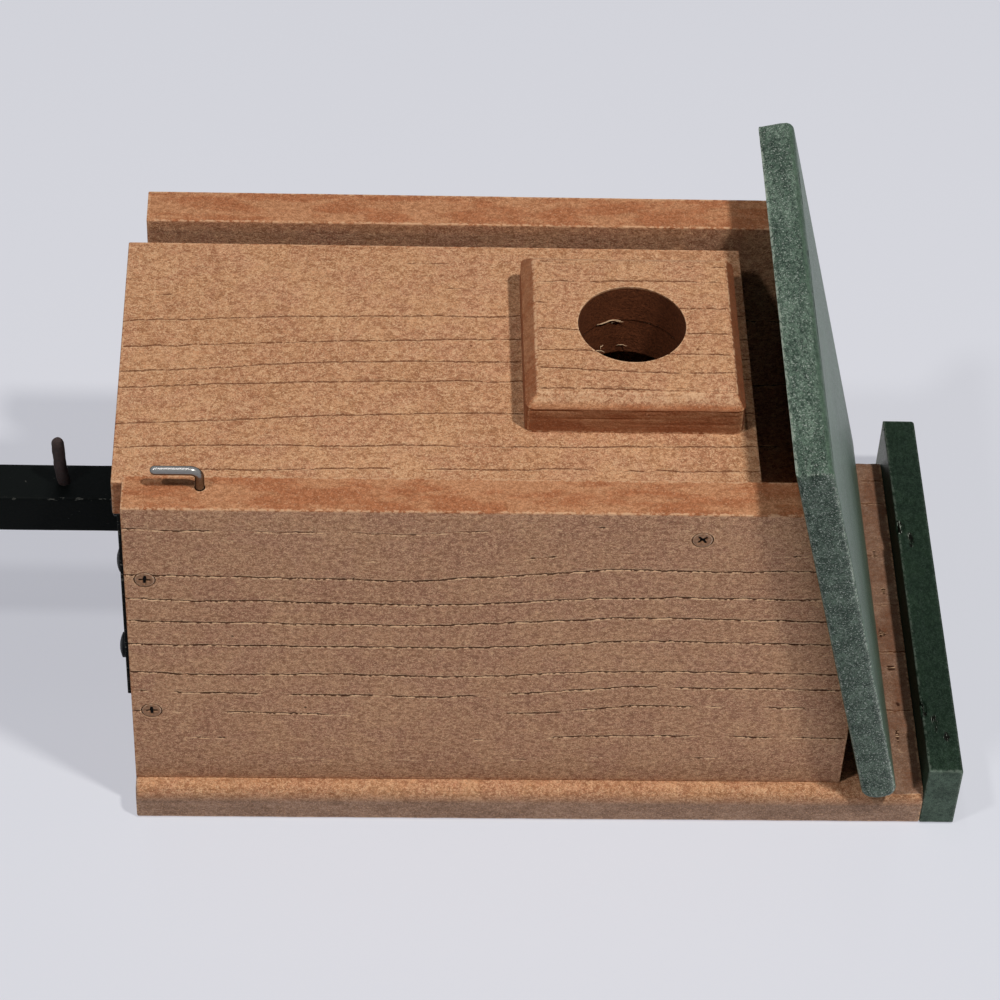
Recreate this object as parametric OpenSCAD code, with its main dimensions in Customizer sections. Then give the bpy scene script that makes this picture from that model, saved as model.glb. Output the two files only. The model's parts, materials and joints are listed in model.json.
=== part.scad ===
// Bluebird nest box on a flanged steel pole, with a front that swings up for cleaning.
// Millimetres. +Z is up, the front faces -Y, and the origin is the centre of the
// pole's lower end face.

/* [Boards] */
// Thickness of the brown boards
board_t = 15.9; // [12:0.1:22]
// Thickness of the green roof and cap boards
green_t = 12.7; // [9:0.1:19]
// Rounding of the back board's front corners
back_round = 5; // [1:0.5:8]
// Rounding of the green boards' long edges
green_round = 3.5; // [1:0.5:4]

/* [Box] */
// Clear width between the side boards
inner_w = 128; // [110:0.5:180]
// Depth of the side boards, front edge to back board
side_d = 142.9; // [120:0.1:200]
// Height of a side board at its front edge
side_front_h = 231; // [200:1:320]
// How much of a side board's back upper corner is cut off square, below the roof
side_corner_cut = 8; // [3:0.1:20]
// How much shorter the left side board was cut at the bottom
left_short = 2; // [0:0.5:5]
// How far the back board reaches past each side board
back_reach = 5.85; // [0:0.05:20]
// How far the back board stands up above the roof's rear edge
back_rise = 9.7; // [4:0.1:40]

/* [Roof and cap] */
// How far the roof and the cap reach past each side board
roof_reach = 9; // [0:0.1:40]
// Slope of the roof, in degrees
roof_slope = 13.8; // [8:0.1:25]
// Reach of the roof's lower front edge in front of the side boards
roof_overhang = 28.3; // [5:0.1:60]
// Depth of the cap, front to back
cap_d = 30.2; // [18:0.1:45]
// Sideways shift of the cap
cap_x = -4; // [-8:0.5:8]
// How much longer the cap is than the roof is wide
cap_extra = 2; // [0:0.5:10]
// Rounding of the cap's upper front edge
cap_round = 1.5; // [0.5:0.5:4]

/* [Front door] */
// Gap beside the door, each side, when it is centred
door_gap = 3.7; // [2.5:0.1:8]
// Distance of the door's top below the side boards' front upper corners
vent_gap = 12.9; // [6:0.1:30]
// How far the door hangs below the side boards
door_drop = 4.3; // [0:0.1:10]
// How far the door's face is set back from the side boards' front edges
door_recess = 5.5; // [1:0.5:15]
// Sideways shift of the door in its opening
door_x = 2; // [-2:0.5:2]
// Gap between the closed door and the floor's front edge
door_stop_gap = 0.5; // [0.3:0.1:3]

/* [Entrance] */
// Diameter of the entrance hole
hole_d = 38.1; // [28:0.1:50]
// Depth of the entrance hole's centre below the side boards' front upper corners
hole_drop = 55.8; // [50:0.1:110]
// Sideways place of the entrance hole
hole_x = -1.9; // [-5:0.1:5]
// Width and height of the guard block
guard_size = 76.2; // [60:0.1:80]
// Thickness of the guard block
guard_t = 15.9; // [8:0.1:20]
// Chamfer around the guard block's face
guard_chamfer = 4.5; // [0.5:0.1:7]

/* [Pivots] */
// Diameter of the pivot screws' shanks
pivot_d = 4.2; // [3:0.1:6]
// Depth of the pivots below the side boards' front upper corners
pivot_drop = 34; // [25:0.5:45]
// Distance of the pivots behind the side boards' front edges
pivot_setback = 12.5; // [10:0.5:16]
// How deep a pivot screw reaches into the door's edge
pivot_bite = 14; // [8:1:20]

/* [Latch hook] */
// Diameter of the hook's wire
hook_d = 3.2; // [2:0.1:5]
// Height of the hook above the bottom of the side boards
hook_h = 26.4; // [20:0.1:60]
// Distance of the hook from the side board's inner face
hook_inset = 5.5; // [3:0.1:12]
// Reach of the hook's arm in front of the side board, to the wire's centre
hook_reach = 8; // [5:0.5:14]
// Length of the hook's arm, from the leg's axis to the tip
hook_arm = 16.6; // [10:0.1:30]
// Depth of the hook's leg in the side board
hook_leg = 14; // [8:1:25]

/* [Screws] */
// Diameter of the board screws' heads
head_d = 8; // [5:0.1:10]
// Height of the board screws' heads
head_h = 2; // [1:0.1:3]
// How far the side boards' screw heads are sunk in the wood
head_sink = 1.9; // [0:0.1:2]
// Diameter of the board screws' shanks
shank_d = 3.8; // [2.5:0.1:5]
// How far a board screw reaches into the second board
screw_bite = 18; // [8:1:30]
// Height of the floor screws above the bottom of the side boards
floor_screw_h = 7; // [6:0.5:9]

/* [Pole and plate] */
// Width of the square pole
pole_w = 17.5; // [12:0.5:30]
// Wall thickness of the pole
pole_wall = 2; // [1:0.1:4]
// Length of the pole below the plate
pole_len = 250; // [60:1:1800]
// Distance of the pole's axis behind the side boards' front edges
pole_setback = 79.5; // [72:0.5:86]
// Width and depth of the mounting plate
plate_w = 101.6; // [80:0.1:102]
// Thickness of the mounting plate
plate_t = 4; // [2:0.1:8]
// Distance of the plate's corner screws from its edges
plate_screw_edge = 12.8; // [8:0.1:20]
// Distance of the plate's inner screws from its middle
plate_inner_pitch = 30; // [22:0.5:40]
// Diameter of the plate screws' heads
plate_head_d = 9.4; // [6:0.1:12]
// Height of the plate screws' heads
plate_head_h = 3; // [1.5:0.1:4]
// Diameter of the pin in the pole
pin_d = 4.8; // [3:0.1:7]
// Distance of the pin below the plate's lower face
pin_drop = 23; // [15:0.5:50]
// Reach of the pin in front of the pole
pin_reach = 22; // [5:0.5:40]
// How far the pin droops, in degrees
pin_droop = 4.5; // [0:0.5:12]

/* [Hidden] */
$fn = 48;

// Colours
brown = "#b98a62";
green = "#46604f";
black = "#17191a";
zinc = "#b9bcbe";
rust = "#4a3630";
tan_paint = "#94785c";

// Clearances
running_gap = 0.05;   // radial, shaft in a hole
seat_gap = 0.3;       // board end to the face that it butts against
cut = 1;              // overshoot of a cutting shape

dome_rise = 1.1;      // how much of a head's height is its dome
recess_w = 1;         // width of a cross recess's slot
recess_depth = 1.1;
tip_len = 4;          // length of a screw's pointed end

// Sizes worked out from those above
slope_rise = side_d * tan(roof_slope);    // of the roof over a side board's depth
side_back_h = side_front_h + slope_rise - side_corner_cut;
back_h = side_front_h + slope_rise + green_t / cos(roof_slope) + back_rise;
back_w = inner_w + 2 * (board_t + back_reach);
roof_w = inner_w + 2 * (board_t + roof_reach);
cap_w = roof_w + cap_extra;
door_w = inner_w - 2 * door_gap;
door_h = side_front_h - vent_gap + door_drop;
plate_screw_pitch = plate_w / 2 - plate_screw_edge;

// Places worked out from the sizes above
side_x = inner_w / 2;                     // inner face of the right side board
outer_x = side_x + board_t;               // outer face of the right side board
house_z = pole_len + plate_t;             // bottom of the side boards
front_y = -pole_setback;                  // front edges of the side boards
back_y = front_y + side_d;                // front face of the back board
rear_y = back_y + board_t;                // rear face of the back board
cap_z = house_z + back_h;                 // underside of the cap
door_y = front_y + door_recess;           // front face of the door
door_back_y = door_y + board_t;
door_left_x = door_x - door_w / 2;
door_right_x = door_x + door_w / 2;
door_z = house_z - door_drop;
hole_z = house_z + side_front_h - hole_drop;
pivot_y = front_y + pivot_setback;
pivot_z = house_z + side_front_h - pivot_drop;
hook_x = side_x + hook_inset;
hook_z = house_z + hook_h;
nose_y = front_y - roof_overhang;         // the roof's lower front edge
roof_len = (back_y - seat_gap - nose_y) / cos(roof_slope);
pin_z = pole_len - pin_drop;

// Places of the board screws
floor_screw_depths = [35.5, side_d - 37.9];    // behind the side boards' front edges
low_screw_h = 40;                              // above the bottom of the side boards
high_screw_h = side_back_h - 43;
back_screw_heights = [low_screw_h, (low_screw_h + high_screw_h) / 2, high_screw_h];
roof_screw_x = back_w / 2 - 40.75;
cap_screw_x = roof_w / 2 - 28.9;
guard_screw_x = (hole_d + guard_size) / 4;     // halfway from the hole's rim to the block's edge

// Height of the roof's underside at a place along Y
function roof_under_z(y) = house_z + side_front_h + (y - front_y) * tan(roof_slope);

// A board of a given size, with its lowest corner at the origin
module board(w, d, h) {
    cube([w, d, h]);
}

// What rounding takes off a square corner that sits at the origin
module corner_waste(r) {
    difference() {
        translate([-cut, -cut]) square(r + cut);
        translate([r, r]) circle(r);
    }
}

// A rectangle whose corners are rounded as listed: low left, low right, high right, high left
module eased_rectangle(w, h, radii) {
    difference() {
        square([w, h]);
        if (radii[0] > 0) corner_waste(radii[0]);
        if (radii[1] > 0) translate([w, 0]) mirror([1, 0]) corner_waste(radii[1]);
        if (radii[2] > 0) translate([w, h]) rotate(180) corner_waste(radii[2]);
        if (radii[3] > 0) translate([0, h]) mirror([0, 1]) corner_waste(radii[3]);
    }
}

// A screw whose head sits on the XY plane, facing +Z
module pan_screw(length, shank, head, height) {
    dome_r = (pow(head / 2, 2) + pow(dome_rise, 2)) / (2 * dome_rise);
    difference() {
        union() {
            intersection() {
                cylinder(d = head, h = height);
                translate([0, 0, height - dome_r]) sphere(dome_r, $fn = 96);
            }
            translate([0, 0, tip_len - length]) cylinder(d = shank, h = length - tip_len);
            translate([0, 0, -length]) cylinder(d1 = shank / 8, d2 = shank, h = tip_len);
        }
        for (turn = [0, 90]) {
            rotate(turn) translate([-head * 0.28, -recess_w / 2, height - recess_depth])
                cube([head * 0.56, recess_w, recess_depth + cut]);
        }
    }
}

// The hole that a screw's shank goes through, from its seat inwards
module screw_hole(length, shank) {
    translate([0, 0, -length - running_gap])
        cylinder(d = shank + 2 * running_gap, h = length + running_gap + cut);
}

// The same for a screw whose head is sunk flush
module sunk_screw_hole(length, shank) {
    screw_hole(length, shank);
    cylinder(d = head_d + 2 * seat_gap, h = head_h + cut);
}

// Places of the screws: each puts its children where one screw sits
module at_floor_screw(side, depth) {
    translate([side * (outer_x - head_sink), front_y + depth, house_z + floor_screw_h])
        rotate([0, side * 90, 0]) children();
}
module at_pivot(side) {
    translate([side * (outer_x - head_sink), pivot_y, pivot_z])
        rotate([0, side * 90, 0]) children();
}
module at_back_screw(side, height) {
    translate([side * (side_x + board_t / 2), rear_y - head_h, house_z + height])
        rotate([-90, 0, 0]) children();
}
module at_roof_screw(side) {
    roof_middle_z = roof_under_z(back_y - screw_bite / 2) + green_t / cos(roof_slope) / 2;
    translate([side * roof_screw_x, rear_y - head_h, roof_middle_z])
        rotate([-90, 0, 0]) children();
}
module at_cap_screw(side) {
    translate([cap_x + side * cap_screw_x, back_y + board_t / 2, cap_z + green_t]) children();
}
module at_guard_screw(side) {
    translate([hole_x + side * guard_screw_x, door_back_y, hole_z])
        rotate([-90, 0, 0]) children();
}
module at_plate_screw(x, y) {
    translate([x, y, pole_len]) rotate([180, 0, 0]) children();
}

// Lengths of the screws
floor_screw_len = board_t - head_sink + screw_bite;
back_screw_len = board_t - head_h + screw_bite;
cap_screw_len = green_t + screw_bite;
guard_screw_len = board_t + guard_t - guard_chamfer - 1;
plate_screw_len = plate_t + board_t - 3;
function pivot_len(side) =
    outer_x - head_sink - (side > 0 ? door_right_x : -door_left_x) + pivot_bite;

module back_board() {
    color(brown)
    difference() {
        translate([-back_w / 2, back_y, house_z])
            linear_extrude(back_h)
            eased_rectangle(back_w, board_t, [back_round, back_round, 1, 1]);
        for (side = [-1, 1]) {
            for (height = back_screw_heights)
                at_back_screw(side, height) sunk_screw_hole(back_screw_len, shank_d);
            at_roof_screw(side) sunk_screw_hole(back_screw_len, shank_d);
            at_cap_screw(side) screw_hole(cap_screw_len, shank_d);
        }
    }
}

// A side board: square-cut at the back, sloped under the roof. side is -1 left, 1 right
module side_board(side, short) {
    difference() {
        translate([side > 0 ? side_x : -outer_x, front_y, house_z + short])
            board(board_t, side_d, side_back_h - short);
        translate([-outer_x - cut, front_y, roof_under_z(front_y)])
            rotate([roof_slope, 0, 0])
            translate([0, -side_d, 0])
            cube([2 * (outer_x + cut), 3 * side_d, side_back_h]);
        for (depth = floor_screw_depths)
            at_floor_screw(side, depth) sunk_screw_hole(floor_screw_len, shank_d);
        for (height = back_screw_heights)
            at_back_screw(side, height) screw_hole(back_screw_len, shank_d);
        at_pivot(side) sunk_screw_hole(pivot_len(side), pivot_d);
        if (side > 0)
            at_hook() hook_hole();
    }
}
module left_side() {
    color(brown) side_board(-1, left_short);
}
module right_side() {
    color(brown) side_board(1, 0);
}

module floor() {
    floor_y = door_back_y + door_stop_gap;
    color(brown)
    difference() {
        translate([-side_x, floor_y, house_z]) board(inner_w, back_y - floor_y, board_t);
        for (side = [-1, 1])
            for (depth = floor_screw_depths)
                at_floor_screw(side, depth) screw_hole(floor_screw_len, shank_d);
        at_plate_screws() screw_hole(plate_screw_len, shank_d);
    }
}

module entrance_bore() {
    translate([hole_x, door_y - guard_t - cut, hole_z])
        rotate([-90, 0, 0])
        cylinder(d = hole_d, h = guard_t + board_t + 2 * cut, $fn = 96);
}

module front_door() {
    color(brown)
    difference() {
        translate([door_left_x, door_y, door_z]) board(door_w, board_t, door_h);
        entrance_bore();
        for (side = [-1, 1]) {
            at_pivot(side) screw_hole(pivot_len(side) + cut, pivot_d);
            at_guard_screw(side) screw_hole(guard_screw_len, shank_d);
        }
    }
}

module guard_block() {
    color(brown)
    difference() {
        translate([hole_x - guard_size / 2, door_y - guard_t, hole_z - guard_size / 2])
            board(guard_size, guard_t, guard_size);
        for (turn = [0:90:270])
            translate([hole_x, door_y - guard_t, hole_z])
                rotate([0, turn, 0])
                translate([guard_size / 2, 0, 0])
                rotate(45)
                cube([guard_chamfer * sqrt(2), guard_chamfer * sqrt(2), guard_size + 2 * cut],
                    center = true);
        entrance_bore();
        for (side = [-1, 1])
            at_guard_screw(side) screw_hole(guard_screw_len, shank_d);
    }
}

module roof() {
    color(green)
    difference() {
        translate([roof_w / 2, nose_y, roof_under_z(nose_y)])
            rotate([roof_slope, 0, 0])
            rotate([90, 0, -90])
            linear_extrude(roof_w)
            mirror([1, 0])
            eased_rectangle(roof_len, green_t, [0.5, green_round, green_round, green_round]);
        for (side = [-1, 1])
            at_roof_screw(side) screw_hole(back_screw_len, shank_d);
    }
}

module top_cap() {
    color(green)
    difference() {
        translate([cap_x + cap_w / 2, rear_y, cap_z])
            rotate([90, 0, -90])
            linear_extrude(cap_w)
            eased_rectangle(cap_d, green_t, [0.5, 0.5, cap_round, 0.5]);
        for (side = [-1, 1])
            at_cap_screw(side) screw_hole(cap_screw_len, shank_d);
    }
}

// Puts its children at each of the plate's screws
module at_plate_screws() {
    for (side = [-1, 1]) {
        at_plate_screw(side * plate_inner_pitch, 0) children();
        for (end = [-1, 1])
            at_plate_screw(side * plate_screw_pitch, end * plate_screw_pitch) children();
    }
}

module mounting_plate() {
    color(black)
    difference() {
        translate([-plate_w / 2, -plate_w / 2, pole_len])
            linear_extrude(plate_t)
            eased_rectangle(plate_w, plate_w, [2, 2, 2, 2]);
        at_plate_screws() screw_hole(plate_screw_len, shank_d);
    }
}

// Square tube with a closed foot; its open top is welded to the plate
module pole() {
    color(black)
    difference() {
        translate([-pole_w / 2, -pole_w / 2, 0])
            linear_extrude(pole_len)
            eased_rectangle(pole_w, pole_w, [1, 1, 1, 1]);
        translate([pole_wall - pole_w / 2, pole_wall - pole_w / 2, pole_wall])
            cube([pole_w - 2 * pole_wall, pole_w - 2 * pole_wall, pole_len]);
        at_pin()
            translate([0, 0, -pole_wall - 2 * cut])
            cylinder(d = pin_d + 2 * running_gap, h = pole_wall + 4 * cut);
    }
}

// Puts its children where the pin enters the pole, with +Z running out along the pin
module at_pin() {
    translate([0, -pole_w / 2, pin_z]) rotate([90 + pin_droop, 0, 0]) children();
}

// A drooping rod that passes through the pole's front wall and stops on its rear wall
module pole_pin() {
    inside = (pole_w - pole_wall - seat_gap - pin_d / 2 * sin(pin_droop)) / cos(pin_droop);
    chamfer = pin_d / 6;
    color(rust)
    at_pin() {
        translate([0, 0, -inside]) cylinder(d = pin_d, h = inside + pin_reach - chamfer);
        translate([0, 0, pin_reach - chamfer])
            cylinder(d1 = pin_d, d2 = pin_d - 2 * chamfer, h = chamfer);
    }
}

module at_hook() {
    translate([hook_x, front_y, hook_z]) children();
}
module hook_hole() {
    translate([0, -cut, 0])
        rotate([-90, 0, 0])
        cylinder(d = hook_d + 2 * running_gap, h = hook_leg + running_gap + cut);
}

// An L-shaped screw hook: its leg turns in the side board, its arm hangs in front
module latch_hook() {
    bend_r = hook_d;
    straight = hook_reach - bend_r;
    color(zinc)
    at_hook() {
        translate([0, -straight, 0]) rotate([-90, 0, 0]) cylinder(d = hook_d, h = straight + hook_leg);
        translate([0, -straight, -bend_r])
            mirror([0, 1, 0])
            rotate([0, -90, 0])
            rotate_extrude(angle = 90)
            translate([bend_r, 0])
            circle(d = hook_d);
        translate([0, -hook_reach, hook_d / 2 - hook_arm])
            cylinder(d = hook_d, h = hook_arm - hook_d / 2 - bend_r);
        translate([0, -hook_reach, hook_d / 2 - hook_arm]) sphere(d = hook_d);
    }
}

module pivot_screw(side) {
    color(tan_paint) at_pivot(side) pan_screw(pivot_len(side), pivot_d, head_d, head_h);
}
module floor_screw(side, depth) {
    color(tan_paint)
    at_floor_screw(side, depth) pan_screw(floor_screw_len, shank_d, head_d, head_h);
}
module back_screw(side, height) {
    color(tan_paint)
    at_back_screw(side, height) pan_screw(back_screw_len, shank_d, head_d, head_h);
}
module roof_screw(side) {
    color(tan_paint) at_roof_screw(side) pan_screw(back_screw_len, shank_d, head_d, head_h);
}
module cap_screw(side) {
    color(tan_paint) at_cap_screw(side) pan_screw(cap_screw_len, shank_d, head_d, head_h);
}
module guard_screw(side) {
    color(tan_paint) at_guard_screw(side) pan_screw(guard_screw_len, shank_d, head_d, head_h);
}
module plate_screw(x, y) {
    color(black)
    at_plate_screw(x, y) pan_screw(plate_screw_len, shank_d, plate_head_d, plate_head_h);
}

back_board();
left_side();
right_side();
floor();
front_door();
guard_block();
roof();
top_cap();
mounting_plate();
pole();
pole_pin();
latch_hook();
pivot_screw(-1);  // left_pivot_screw
pivot_screw(1);  // right_pivot_screw
floor_screw(-1, floor_screw_depths[0]);  // left_floor_screw_front
floor_screw(-1, floor_screw_depths[1]);  // left_floor_screw_back
floor_screw(1, floor_screw_depths[0]);  // right_floor_screw_front
floor_screw(1, floor_screw_depths[1]);  // right_floor_screw_back
back_screw(-1, back_screw_heights[0]);  // left_back_screw_low
back_screw(-1, back_screw_heights[1]);  // left_back_screw_middle
back_screw(-1, back_screw_heights[2]);  // left_back_screw_high
back_screw(1, back_screw_heights[0]);  // right_back_screw_low
back_screw(1, back_screw_heights[1]);  // right_back_screw_middle
back_screw(1, back_screw_heights[2]);  // right_back_screw_high
roof_screw(-1);  // left_roof_screw
roof_screw(1);  // right_roof_screw
cap_screw(-1);  // left_cap_screw
cap_screw(1);  // right_cap_screw
guard_screw(-1);  // left_guard_screw
guard_screw(1);  // right_guard_screw
plate_screw(-plate_screw_pitch, -plate_screw_pitch);  // left_plate_screw_front
plate_screw(-plate_inner_pitch, 0);  // left_plate_screw_middle
plate_screw(-plate_screw_pitch, plate_screw_pitch);  // left_plate_screw_back
plate_screw(plate_screw_pitch, -plate_screw_pitch);  // right_plate_screw_front
plate_screw(plate_inner_pitch, 0);  // right_plate_screw_middle
plate_screw(plate_screw_pitch, plate_screw_pitch);  // right_plate_screw_back
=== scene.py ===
"""The bluebird house: detailed boards, metal parts, materials, lights and camera."""

import json
import math

import bpy
import numpy as np
from mathutils import Matrix, Vector


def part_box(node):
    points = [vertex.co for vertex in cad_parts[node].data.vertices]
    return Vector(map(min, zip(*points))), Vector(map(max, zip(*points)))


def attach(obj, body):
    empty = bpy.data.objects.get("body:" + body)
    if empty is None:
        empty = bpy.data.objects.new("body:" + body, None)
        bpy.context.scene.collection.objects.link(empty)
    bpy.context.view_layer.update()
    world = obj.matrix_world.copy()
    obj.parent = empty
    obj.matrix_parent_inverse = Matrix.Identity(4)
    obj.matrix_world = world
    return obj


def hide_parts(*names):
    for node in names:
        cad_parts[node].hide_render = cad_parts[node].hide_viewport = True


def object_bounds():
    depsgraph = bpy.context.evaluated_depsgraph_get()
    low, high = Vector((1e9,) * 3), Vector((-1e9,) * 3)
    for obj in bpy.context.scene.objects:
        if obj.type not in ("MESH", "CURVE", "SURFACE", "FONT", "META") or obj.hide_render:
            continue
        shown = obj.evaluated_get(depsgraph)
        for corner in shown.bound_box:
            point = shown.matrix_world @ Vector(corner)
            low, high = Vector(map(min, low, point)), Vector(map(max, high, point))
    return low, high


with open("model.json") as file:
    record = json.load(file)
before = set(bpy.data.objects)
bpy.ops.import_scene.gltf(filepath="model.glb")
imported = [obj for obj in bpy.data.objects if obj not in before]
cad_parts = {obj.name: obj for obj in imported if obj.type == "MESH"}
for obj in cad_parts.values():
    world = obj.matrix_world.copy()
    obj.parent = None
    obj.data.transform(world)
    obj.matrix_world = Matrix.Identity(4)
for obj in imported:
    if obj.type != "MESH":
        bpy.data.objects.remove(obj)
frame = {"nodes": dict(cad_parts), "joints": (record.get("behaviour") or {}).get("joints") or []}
cad_lo, cad_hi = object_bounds()

MM = 0.001


# ---- noise and small maths

def lattice_noise(u, v, seed):
    """Smooth value noise from 0 to 1, one cell per unit."""
    size = 61
    table = np.random.RandomState(seed).rand(size, size)
    u, v = np.broadcast_arrays(np.asarray(u, float), np.asarray(v, float))
    iu, iv = np.floor(u).astype(int), np.floor(v).astype(int)
    fu, fv = u - iu, v - iv
    fu, fv = fu * fu * (3 - 2 * fu), fv * fv * (3 - 2 * fv)
    at = lambda i, j: table[i % size, j % size]
    low = at(iu, iv) * (1 - fu) + at(iu + 1, iv) * fu
    high = at(iu, iv + 1) * (1 - fu) + at(iu + 1, iv + 1) * fu
    return low * (1 - fv) + high * fv


def rough_noise(u, v, seed):
    """Three octaves of value noise, from 0 to 1."""
    return (lattice_noise(u, v, seed) * 4 + lattice_noise(u * 2.1, v * 2.1, seed + 1) * 2
            + lattice_noise(u * 4.3, v * 4.3, seed + 2)) / 7


def smooth(low, high, x):
    t = np.clip((x - low) / (high - low), 0, 1)
    return t * t * (3 - 2 * t)


# ---- boards

NEAR = 1.3          # how far from a grain line its marks reach, in mm
GROOVE_W = 0.38     # half the width of a grain line
GROOVE_D = 0.3      # its depth
LIP = 0.8           # how far its strength holds
ACROSS = (-NEAR, -LIP, -GROOVE_W, -0.15, 0.15, GROOVE_W, LIP, NEAR)      # its columns
BORED = 2.0         # the sawn mark's value inside a drilled hole


class Grain:
    """Embossed grain lines on one face: sunk, wavy and broken, running along b."""

    def __init__(self, length, lines, sway=((0, 0), (1, 0)), seed=1):
        self.length, self.lines, self.seed = length, lines, seed
        self.sway = np.array(sway, float)

    def path(self, k, b):
        start, share = self.lines[k][:2]
        run = np.interp(b / self.length, self.sway[:, 0], self.sway[:, 1])
        own = lattice_noise(b / 26, 0.5, self.seed + 10 * k) - 0.5
        fine = rough_noise(b / 6.5, 0.5, self.seed + 10 * k + 1) - 0.5
        return start + share * run + 1.5 * own + 1.1 * fine

    def strength(self, k, b):
        low, high = self.lines[k][2:4]
        run = low + (high - low) * np.clip(b / self.length, 0, 1)
        dash = (lattice_noise(b / 13, 0.5, self.seed + 10 * k + 2) * 0.65
                + lattice_noise(b / 4, 0.5, self.seed + 10 * k + 3) * 0.35)
        return np.clip(smooth(0.74 - run, 0.98 - run, dash), 0, 1) * min(1.0, 0.45 + max(low, high))

    def depth(self, a, b):
        """How deep the lines are at points, in mm."""
        across, strength = self.near(a, b)
        return GROOVE_D * np.clip(1 - (np.abs(across) / GROOVE_W) ** 1.5, 0, 1) * strength

    def near(self, a, b):
        """Signed distance to the nearest line in mm, and that line's strength there."""
        across, strength = np.full(np.shape(a), NEAR), np.zeros(np.shape(a))
        for k in range(len(self.lines)):
            d = a - self.path(k, b)
            closer = np.abs(d) < np.abs(across)
            across = np.where(closer, d, across)
            fade = np.clip((NEAR - np.abs(d)) / (NEAR - LIP), 0, 1)
            strength = np.where(closer, fade * self.strength(k, b), strength)
        return across, strength


def points_of(mesh):
    co = np.zeros(len(mesh.vertices) * 3)
    mesh.vertices.foreach_get("co", co)
    return co.reshape(-1, 3)


def reach_along(node, turn):
    """How far a CAD node reaches along three directions, as low and high places in metres."""
    along = points_of(frame["nodes"][node].data) @ turn.T
    return along.min(0), along.max(0)


def in_corner(r, gap_1, gap_2):
    """Which points a corner of radius r rounds, their reach into it on both sides, the larger
    reach, and the straight one."""
    x, y = np.maximum(r - gap_1, 0), np.maximum(r - gap_2, 0)
    both = (x > 0) & (y > 0)
    return both, x, y, np.maximum(x, y), np.where(both, np.hypot(x, y), 1)


def spread(length, step, fine):
    """Places from 0 to length, close together at both ends."""
    ends = [f for f in fine if f < length / 2]
    count = max(1, int(round((length - 2 * ends[-1]) / step)))
    middle = np.linspace(ends[-1], length - ends[-1], count + 1)[1:-1]
    return np.unique(np.round(np.concatenate([ends, middle, [length - e for e in ends]]), 4))


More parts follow.
